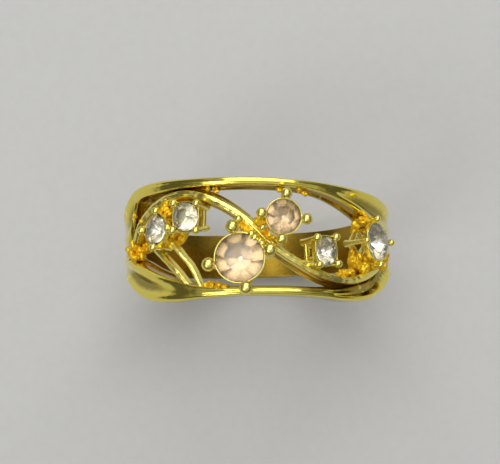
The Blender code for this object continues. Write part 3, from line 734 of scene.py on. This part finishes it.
def pierced(mesh, name, heads):
    """The plate with a round hole through it under each of these heads."""
    plate = placed(name + "_blank", mesh)
    drills = []
    for spec in heads:
        reach = spec[1][0] * HOLE_SHARE
        bm = bmesh.new()
        bmesh.ops.create_cone(
            bm, cap_ends=True, segments=HOLE_SIDES, radius1=reach, radius2=reach, depth=DRILL_LENGTH,
            matrix=head_place(spec) @ Matrix.Translation((0, 0, -DRILL_DROP)),
        )
        drill = placed(name + "_drill", mesh_from(bm, name + "_drill"))
        modifier = plate.modifiers.new("hole", "BOOLEAN")
        modifier.operation, modifier.object = "DIFFERENCE", drill
        drills.append(drill)
    made = baked(plate, name)
    for drill in drills:
        bpy.data.objects.remove(drill, do_unlink=True)
    return made


def baked(obj, name):
    """The mesh that an object's modifiers make. The object goes."""
    bpy.context.view_layer.update()
    made = bpy.data.meshes.new_from_object(obj.evaluated_get(bpy.context.evaluated_depsgraph_get()))
    made.name = name
    obj.modifiers.clear()
    bpy.data.objects.remove(obj, do_unlink=True)
    return made


def with_flash(mesh, piece, materials):
    """The mesh with its casting flash and solder: beads, lumpy ones in the last of these materials."""
    bm = bmesh.new()
    bm.from_mesh(mesh)
    rows = [(owner, *row) for owner, beads in FLASH for row in beads]
    for k, (owner, angle, height, radius, spread, count, size, *plain) in enumerate(rows):
        if owner != piece:
            continue
        draw = random.Random(k)
        for _ in range(count):
            middle = on_band(angle, height * MM, radius * MM)
            middle += Vector([draw.gauss(0, spread * 0.5) * MM for _ in range(3)]) * 0.8
            stretch = [1 if plain else draw.uniform(*BEAD_STRETCH) for _ in range(3)]
            seed = Vector([draw.uniform(0, 9) for _ in range(3)])
            made = bmesh.ops.create_icosphere(bm, subdivisions=3, radius=1)["verts"]
            for vert in made:
                lump = noise.noise(vert.co * 1.1 + seed) + 0.25 * noise.noise(vert.co * 2.7 + seed)
                lump = 1 + (ROUND_LUMPS if plain else BEAD_LUMPS) * lump
                vert.co = middle + Vector([c * size * by * MM * lump for c, by in zip(vert.co, stretch)])
            for face in {face for vert in made for face in vert.link_faces}:
                face.material_index = 0 if plain else len(materials) - 1
    mesh.materials.clear()
    for material in materials:
        mesh.materials.append(material)
    bm.to_mesh(mesh)
    bm.free()
    return mesh


def rings_closed(bm, name, loops):
    """The mesh of closed sections joined one to the next, the last to the first."""
    for near, far in zip(loops, loops[1:] + loops[:1]):
        for j in range(len(near)):
            after = (j + 1) % len(near)
            bm.faces.new((near[j], near[after], far[after], far[j]))
    return mesh_from(bm, name)


def lathe(name, profile, sides, matrix, squareness=0.0, turn=0.0):
    """A ring turned round Z. Squareness pushes it out towards its four prongs."""
    bm = bmesh.new()
    loops = []
    for k in range(sides):
        around = math.tau * k / sides
        push = 1 + squareness * (0.5 + 0.5 * math.cos(4 * (around - turn))) ** 2
        loops.append([
            bm.verts.new(matrix @ Vector((r * push * math.cos(around), r * push * math.sin(around), z)))
            for r, z in profile
        ])
    return rings_closed(bm, name, loops)


def gallery_mesh(name, corner, low, high, first, matrix):
    """The square frame under a head: a rounded bar bent round four soft corners."""
    bm = bmesh.new()
    loops = []
    half, middle, tall = GALLERY_WALL / 2, (high + low) / 2, (high - low) / 2
    for k in range(GALLERY_STEPS):
        around = math.tau * k / GALLERY_STEPS
        near = (around + math.pi / 4) % (math.pi / 2) - math.pi / 4
        flat = math.cos(math.pi / 4) / math.cos(math.pi / 4 - abs(near))
        reach = corner * (0.9 * flat + 0.1 * (0.5 + 0.5 * flat))
        out = outward(around + first)
        ring = []
        for j in range(BAR_SIDES):
            bar = math.tau * j / BAR_SIDES
            across, up = math.cos(bar), math.sin(bar)
            across = math.copysign(abs(across) ** BAR_BOXINESS, across)
            up = math.copysign(abs(up) ** BAR_BOXINESS, up)
            place = out * (reach - half + half * across) + Vector((0, 0, middle + tall * up))
            ring.append(bm.verts.new(matrix @ place))
        loops.append(ring)
    return rings_closed(bm, name, loops)


def cut_stone(name, radius, matrix, turn, materials):
    """A round stone cut plane by plane: table, crown and pavilion facets, with foil on the pavilion."""
    rise = (1 - TABLE_SHARE) * radius * math.tan(CROWN_ANGLE)
    drop = (1 - CULET_SHARE) * radius * math.tan(PAVILION_ANGLE)
    bm = bmesh.new()
    bmesh.ops.create_cone(
        bm, cap_ends=True, segments=STONE_SIDES, radius1=radius, radius2=radius, depth=4 * radius
    )
    ends = ((GIRDLE_HALF + rise, 1), (-GIRDLE_HALF - drop, -1))
    planes = [(Vector((0, 0, level)), Vector((0, 0, side))) for level, side in ends]
    for facet in range(FACETS):
        around = math.tau * facet / FACETS + turn
        out = outward(around)
        for side, slope in ((1, CROWN_ANGLE), (-1, PAVILION_ANGLE)):
            edge = out * radius + Vector((0, 0, side * GIRDLE_HALF))
            planes.append((edge, out * math.sin(slope) + Vector((0, 0, side * math.cos(slope)))))
    for place, normal in planes:
        bmesh.ops.bisect_plane(
            bm, geom=bm.verts[:] + bm.edges[:] + bm.faces[:], dist=1e-8,
            plane_co=place, plane_no=normal, clear_outer=True,
        )
        bmesh.ops.holes_fill(bm, edges=[e for e in bm.edges if e.is_boundary])
    bmesh.ops.recalc_face_normals(bm, faces=bm.faces)
    sharp = [edge for edge in bm.edges if edge.calc_face_angle(0) > CRISP_ANGLE]
    crisp = [edge for edge in sharp if edge.calc_length() > CRISP_SHARE * radius]
    bmesh.ops.bevel(bm, geom=crisp, offset=BEVEL_SHARE * radius, segments=1, affect="EDGES")
    for face in bm.faces:
        face.material_index = 1 if face.normal.z < -0.3 else 0
    bmesh.ops.transform(bm, matrix=matrix, verts=bm.verts)
    mesh = mesh_from(bm, name)
    for material in materials:
        mesh.materials.append(material)
    return mesh


# ---------------- geometry node trees


def geometry_tree(name, inputs):
    """An empty tree of geometry and named sizes, what is given to it, and its output node."""
    tree = bpy.data.node_groups.new(name, "GeometryNodeTree")
    tree.interface.new_socket(name="Geometry", in_out="INPUT", socket_type="NodeSocketGeometry")
    for label, kind, value in inputs:
        socket = tree.interface.new_socket(name=label, in_out="INPUT", socket_type="NodeSocket" + kind)
        if value is not None:
            socket.default_value = value
    tree.interface.new_socket(name="Geometry", in_out="OUTPUT", socket_type="NodeSocketGeometry")
    return tree, tree.nodes.new("NodeGroupInput").outputs, tree.nodes.new("NodeGroupOutput")


def hand_out(tree, geometry, material, result):
    """The geometry made real and in this material, as what the tree gives."""
    whole = add_node(tree, "GeometryNodeRealizeInstances", {"Geometry": geometry})[0]
    whole = add_node(tree, "GeometryNodeSetMaterial", {"Geometry": whole, "Material": material})
    feed(tree, result, {"Geometry": whole[0]})
    return tree


def prong_tree():
    """A ball prong: a wire from its foot to its ball, a little wider at the foot."""
    tree, given, result = geometry_tree("ball_prong", [
        ("Foot", "Vector", None),
        ("Ball Centre", "Vector", None),
        ("Shaft Radius", "Float", 0.2 * MM),
        ("Ball Radius", "Float", 0.3 * MM),
        ("Foot Flare", "Float", 0.35),
        ("Rings", "Int", 64),
        ("Sides", "Int", 28),
        ("Material", "Material", None),
    ])
    foot, ball = given["Foot"], given["Ball Centre"]
    calc = partial(math_node, tree)
    span = vector_node(tree, "SUBTRACT", ball, foot)
    length = vector_node(tree, "LENGTH", span)
    beyond = vector_node(tree, "SCALE", vector_node(tree, "NORMALIZE", span), Scale=given["Ball Radius"])
    end = vector_node(tree, "ADD", ball, beyond)
    line = add_node(tree, "GeometryNodeCurvePrimitiveLine", {"Start": foot, "End": end})[0]
    line = add_node(tree, "GeometryNodeResampleCurve", {"Curve": line, "Count": given["Rings"]})[0]
    along = add_node(tree, "GeometryNodeSplineParameter")["Length"]
    past = calc("SUBTRACT", along, length)
    room = calc("MULTIPLY", past, past)
    square = calc("MULTIPLY", given["Ball Radius"], given["Ball Radius"])
    room = calc("MAXIMUM", calc("SUBTRACT", square, room), 0.0)
    ball_reach = calc("SQRT", room)
    low = calc("DIVIDE", along, length)
    low = calc("SUBTRACT", 1.0, low, clamp=True)
    flare = calc("MULTIPLY", calc("POWER", low, 6.0), given["Foot Flare"])
    shaft = calc("MULTIPLY", given["Shaft Radius"], calc("ADD", flare, 1.0))
    shaft = calc("MULTIPLY", shaft, calc("LESS_THAN", along, length))
    radius = calc("SMOOTH_MAX", ball_reach, shaft, 0.00006)
    radius = calc("MAXIMUM", radius, 1e-6)
    line = add_node(tree, "GeometryNodeSetCurveRadius", {"Curve": line, "Radius": radius})[0]
    circle = {"Radius": 1.0, "Resolution": given["Sides"]}
    ring = add_node(tree, "GeometryNodeCurvePrimitiveCircle", circle)[0]
    skin = {"Curve": line, "Profile Curve": ring, "Scale": radius, "Fill Caps": True}
    skin = add_node(tree, "GeometryNodeCurveToMesh", skin)[0]
    return hand_out(tree, skin, given["Material"], result)


def nub_tree():
    """Casting nubs: small rough beads half sunk in the top of a cast plate."""
    tree, given, result = geometry_tree("casting_nubs", [
        ("Spacing", "Float", 0.2 * MM),
        ("Smallest", "Float", 0.04 * MM),
        ("Largest", "Float", 0.12 * MM),
        ("Seed", "Int", 3),
        ("Material", "Material", None),
    ])
    plate = given["Geometry"]
    place = add_node(tree, "GeometryNodeInputPosition")[0]
    raised = add_node(
        tree, "FunctionNodeCompare", {0: axis_reach(tree, place), 1: BORE_RADIUS + NUB_LEVEL},
        data_type="FLOAT", operation="GREATER_THAN",
    )[0]
    spots = add_node(
        tree, "GeometryNodeDistributePointsOnFaces",
        {"Mesh": plate, "Selection": raised, "Distance Min": given["Spacing"],
         "Density Max": NUB_DENSITY, "Seed": given["Seed"]},
        distribute_method="POISSON",
    )
    bead = add_node(tree, "GeometryNodeMeshIcoSphere", {"Radius": 1.0, "Subdivisions": 3})[0]
    span = {2: given["Smallest"], 3: given["Largest"], "Seed": given["Seed"]}
    size = add_node(tree, "FunctionNodeRandomValue", span, data_type="FLOAT")[1]
    beads = add_node(
        tree, "GeometryNodeInstanceOnPoints",
        {"Points": spots["Points"], "Instance": bead, "Scale": size, "Rotation": spots["Rotation"]},
    )[0]
    joined = tree.nodes.new("GeometryNodeJoinGeometry")
    for geometry in (plate, beads):
        feed(tree, joined, {0: geometry})
    return hand_out(tree, joined.outputs[0], given["Material"], result)


def grown(tree, name, sizes, mesh=None):
    """The plain mesh that a tree makes with these sizes."""
    carrier = placed(name + "_carrier", mesh or bpy.data.meshes.new(name + "_carrier"))
    modifier = carrier.modifiers.new("grow", "NODES")
    modifier.node_group = tree
    for item in tree.interface.items_tree:
        if item.item_type == "SOCKET" and item.in_out == "INPUT" and item.name in sizes:
            modifier[item.identifier] = sizes[item.name]
    return baked(carrier, name)


# ---------------- camera, lights and floor


# Name, direction from the ring, distance, size, power
SOFTBOXES = [
    ("overhead_softbox", (-0.05, 0.3, 1), 0.42, (0.34, 0.26), 0.62),
    ("key_softbox", (0.1, 0.85, 0.6), 0.36, (0.34, 0.14), 0.42),
    ("front_softbox", (-0.5, -0.45, 0.75), 0.36, (0.12, 0.12), 0.16),
]


def set_camera():
    """The photograph's view: through the jewelled face, a little from below, rolled two degrees."""
    distance, below, roll = 150 * MM, math.radians(5), math.radians(-2)
    focal_pixels, wide = 1884.6, 500
    away = Vector((0, -math.sin(below), math.cos(below)))
    right, up = Vector((1, 0, 0)), Vector((0, math.cos(below), math.sin(below)))
    across = right * math.cos(roll) + up * math.sin(roll)
    upward = up * math.cos(roll) - right * math.sin(roll)
    data = bpy.data.cameras.new("camera")
    data.sensor_width = 36
    data.lens = focal_pixels * data.sensor_width / wide
    data.shift_x, data.shift_y = -0.0144, 0.03
    data.clip_start = 1 * MM
    camera = placed("camera", data)
    turn = Matrix((across, upward, away)).transposed().to_4x4()
    camera.matrix_world = Matrix.Translation(away * distance) @ turn
    bpy.context.scene.camera = camera


def add_softbox(name, toward, distance, size, power):
    data = bpy.data.lights.new(name, "AREA")
    data.shape = "RECTANGLE"
    data.size, data.size_y = size
    data.energy = power
    light = placed(name, data)
    out = Vector(toward).normalized()
    light.location = out * distance
    light.rotation_euler = out.to_track_quat("Z", "Y").to_euler()


def set_stage():
    bm = bmesh.new()
    bmesh.ops.create_circle(bm, cap_ends=True, segments=64, radius=1.5)
    bmesh.ops.translate(bm, vec=(0, 0, CAD_BOX[0][2]), verts=bm.verts)
    mesh = mesh_from(bm, "floor")
    mesh.materials.append(floor_material())
    placed("floor", mesh)
    world = bpy.data.worlds.new("studio")
    world.use_nodes = True
    tree = world.node_tree
    toward = add_node(tree, "ShaderNodeTexCoord")["Generated"]
    height = add_node(tree, "ShaderNodeSeparateXYZ", {0: toward})["Z"]
    sky = range_node(tree, height, 0.4, 0.92, {"To Min": 0.1, "To Max": 0.66})
    feed(tree, tree.nodes["Background"], {"Color": (1.0, 0.99, 0.97, 1.0), "Strength": sky})
    bpy.context.scene.world = world
    for softbox in SOFTBOXES:
        add_softbox(*softbox)
    bpy.context.scene.view_settings.view_transform = "Standard"


# ---------------- the ring


def build_band(gold, wire, back, heads, cast):
    upper = [flat_row(row) for row in UPPER_RAIL]
    lower = [flat_row(row) for row in LOWER_RAIL]
    low_side, high_side = flat_row(SHANK[1]), flat_row(SHANK[-2])

    def guard(row, angle, halves, end, keep):
        """The shank's row beyond a shoulder, as the row that a rail runs on to. The rail's inner edge
        stays where its end row has it."""
        heights, drops = row[1:10], row[10:]
        made = [angle, *heights[halves[0]], *drops[halves[1]]]
        made[keep] = end[keep]
        return made

    def both(low, high, angle):
        """Two rails' rows at one angle, as the row that the shank runs on to."""
        middle = (low[5] + high[1]) / 2
        return [angle, *low[1:5], middle, *high[2:6], *low[6:9], SHANK_VALLEY, *high[6:9]]

    before, after = both(lower[-2], upper[-2], 69), both(lower[1], upper[1], 291)
    shank = band_loft("shank_mesh", SHANK, 260, 9, 7, (0, 0), before, after)
    add_piece("shank", shank, back)
    for name, table, rows, halves, lips, inner in (
        ("upper_rail", UPPER_RAIL, upper, (slice(4, 9), slice(4, 7)), (LIP_WIDTH, 0), 1),
        ("lower_rail", LOWER_RAIL, lower, (slice(0, 5), slice(0, 3)), (0, LIP_WIDTH), 5),
    ):
        before = guard(high_side, -84, halves, rows[0], inner)
        after = guard(low_side, 84, halves, rows[-1], inner)
        mesh = band_loft(name + "_mesh", table, 300, 5, 8, lips, before, after, RAIL_REACH)
        add_piece(name, with_flash(mesh, name, [gold, cast]), gold)
    stem = (STEM_DIP, (STEM_LIP, STEM_ROOT, STEM_LIP_THICKNESS), 0.06 * MM)
    for name, *shape in (
        ("vine", VINE_ROUTE, 300, VINE_WIDTH, VINE_DIP, (LIP_WIDTH, 0.0, LIP_THICKNESS), 0.07 * MM),
        ("outer_stem", OUTER_STEM_ROUTE, 70, OUTER_STEM_WIDTH, *stem),
        ("inner_stem", INNER_STEM_ROUTE, 70, INNER_STEM_WIDTH, *stem),
    ):
        plate = wire if name == "vine" else heads
        mesh = with_flash(wire_loft(name + "_mesh", *shape), name, [plate, cast])
        add_piece(name, mesh, plate)


def build_floors(cast):
    nubs = nub_tree()
    for name, rows, mounds, seed in (
        ("left_floor", LEFT_FLOOR, LEFT_MOUNDS, 2), ("right_floor", RIGHT_FLOOR, RIGHT_MOUNDS, 5),
    ):
        plate = cast_floor(name + "_plate", rows, mounds, 90, 44, seed)
        heads = [spec for spec in HEADS if spec[0] in HOLES[name]]
        sizes = {"Spacing": 0.4 * MM, "Smallest": 0.06 * MM, "Largest": 0.17 * MM}
        sizes.update({"Seed": seed, "Material": cast})
        mesh = grown(nubs, name + "_mesh", sizes, pierced(plate, name + "_pierced", heads))
        add_piece(name, with_flash(mesh, name, [cast]), cast, 60, "cast")


def deepest_foot(place, rise, reach, first):
    """How far under the girdle a head's feet can stand and still clear the finger hole."""
    turns = [math.radians(first) + math.tau * k / PRONGS for k in range(PRONGS)]
    shallow, deep = -SEAT_HEIGHT, -2 * rise
    for _ in range(24):
        level = (shallow + deep) / 2
        feet = [place @ Vector((reach * math.cos(turn), reach * math.sin(turn), level)) for turn in turns]
        feet.append(place @ Vector((0, 0, level)))
        if min(math.hypot(foot.x, foot.z) for foot in feet) > BORE_RADIUS + GALLERY_CLEARANCE:
            shallow = level
        else:
            deep = level
    return shallow


def seat_outline(radius):
    """The cup under a stone, with a thin rounded rim."""
    ridge = 1 / math.cos(math.pi / FACETS)
    inner = radius + STONE_CLEARANCE
    outer = radius + SEAT_WALL
    knee = GIRDLE_HALF + radius * math.tan(PAVILION_ANGLE) * (1 - 1 / ridge) + STONE_CLEARANCE
    bottom_reach = min((radius - (SEAT_HEIGHT - GIRDLE_HALF) / math.tan(PAVILION_ANGLE)) * ridge, radius)
    path = [
        (outer, 0), (outer, -SEAT_HEIGHT), (bottom_reach + STONE_CLEARANCE * 2, -SEAT_HEIGHT),
        (inner, -min(knee, SEAT_HEIGHT * 0.8)), (inner, 0),
    ]
    return soften(path, {0, 1, 2, 4}, 0.05 * MM)


def build_head(spec, prongs, gold, cast, stone_materials):
    name, size, rise = spec[:3]
    first, facet_turn = spec[7:]
    stone, post, ball = size
    place = head_place(spec)
    corner = stone * FOOT_SHARE + post
    foot_level = deepest_foot(place, OUTER_RADIUS + rise - BORE_RADIUS, corner + post, first)
    first_turn = math.radians(first)
    top_level = foot_level + GALLERY_HEIGHT
    gallery = gallery_mesh(name + "_gallery_mesh", corner, foot_level, top_level, first_turn, place)
    gallery = with_flash(gallery, name + "_gallery", [gold, cast])
    add_piece(name + "_gallery", gallery, gold, 60)
    square = SEAT_SQUARENESS if size is SMALL else 0.0
    seat = lathe(name + "_seat_mesh", seat_outline(stone), 96, place, square, first_turn)
    add_piece(name + "_seat", seat, gold)
    mesh = cut_stone(name + "_stone_mesh", stone, place, math.radians(facet_turn), stone_materials)
    add_piece(name + "_stone", mesh, None, None, "cut")
    ball_reach = stone + max(SEAT_WALL + SOLDER_GAP + post, ball + STONE_CLEARANCE)
    for k in range(PRONGS):
        around = first_turn + math.tau * k / PRONGS
        out = outward(around)
        sizes = {
            "Foot": place @ (out * corner + Vector((0, 0, foot_level))),
            "Ball Centre": place @ (out * ball_reach + Vector((0, 0, BALL_RISE))),
            "Shaft Radius": post,
            "Ball Radius": ball,
            "Material": gold,
        }
        node = f"{name}_prong_{k + 1}"
        add_piece(node, grown(prongs, node + "_mesh", sizes), gold, 60)


def main():
    groups = (polish_group(), recess_group(), crest_highlight_group(), cast_group())
    # Tones of each plate: the face, the painted shade of the valleys, the painted shade of the deep recesses
    # and the painted highlight of the crests.
    face, valley_shade, deep = (0.9, 0.76, 0.14), (0.36, 0.29, 0.045), (0.5, 0.28, 0.025)
    crest, lemon, amber = (0.95, 0.84, 0.3), (0.94, 0.82, 0.22), (1.0, 0.68, 0.03)
    inner, deeper = (0.55, 0.85, 0.97), (0.9, 1.4, NEVER, 0.5, NEVER)
    coarse = {"lump_scale": 3.0, "grain_scale": 9.0}
    plates = (
        ("polished", (face, valley_shade, deep, crest), 0.13, 1.0, 0.02, (*inner, 0.13, 2.0)),
        ("wire", (lemon, (0.62, 0.5, 0.09), deep, crest), 0.25, 1.0, 0.02, (*inner, 0.3, NEVER)),
        ("back", (face, valley_shade, (0.42, 0.27, 0.03), crest), 0.14, 1.0, 0.02, (0.7, 1.3, NEVER, 0.13, 1.2)),
        ("heads", (lemon, lemon, face, crest), 0.27, 1.6, 0.03, deeper),
        ("cast", (amber, amber, (1.0, 0.62, 0.02), crest), 0.36, 2.0, 0.02, deeper, coarse),
    )
    gold, wire, back, heads, cast = [
        gold_material("gold_plate_" + name, groups, *look) for name, *look in plates
    ]
    clear = crystal_material("clear_crystal_cut", (1.0, 1.0, 1.0), (0.97, 0.97, 0.98))
    peach = crystal_material("peach_crystal_cut", (1.0, 0.97, 0.93), (0.98, 0.9, 0.84))
    silver_foil = foil_material("silver_foil", (1.0, 0.96, 0.8), (0.95, 0.9, 0.75), 0.21)
    rose_foil = foil_material("rose_foil", (0.83, 0.73, 0.56), (0.77, 0.65, 0.48), 0.19)
    set_camera()
    set_stage()
    build_band(gold, wire, back, heads, cast)
    build_floors(cast)
    prongs = prong_tree()
    for spec in HEADS:
        stones = (peach, rose_foil) if spec[0].startswith("centre") else (clear, silver_foil)
        build_head(spec, prongs, heads, cast, stones)


main()
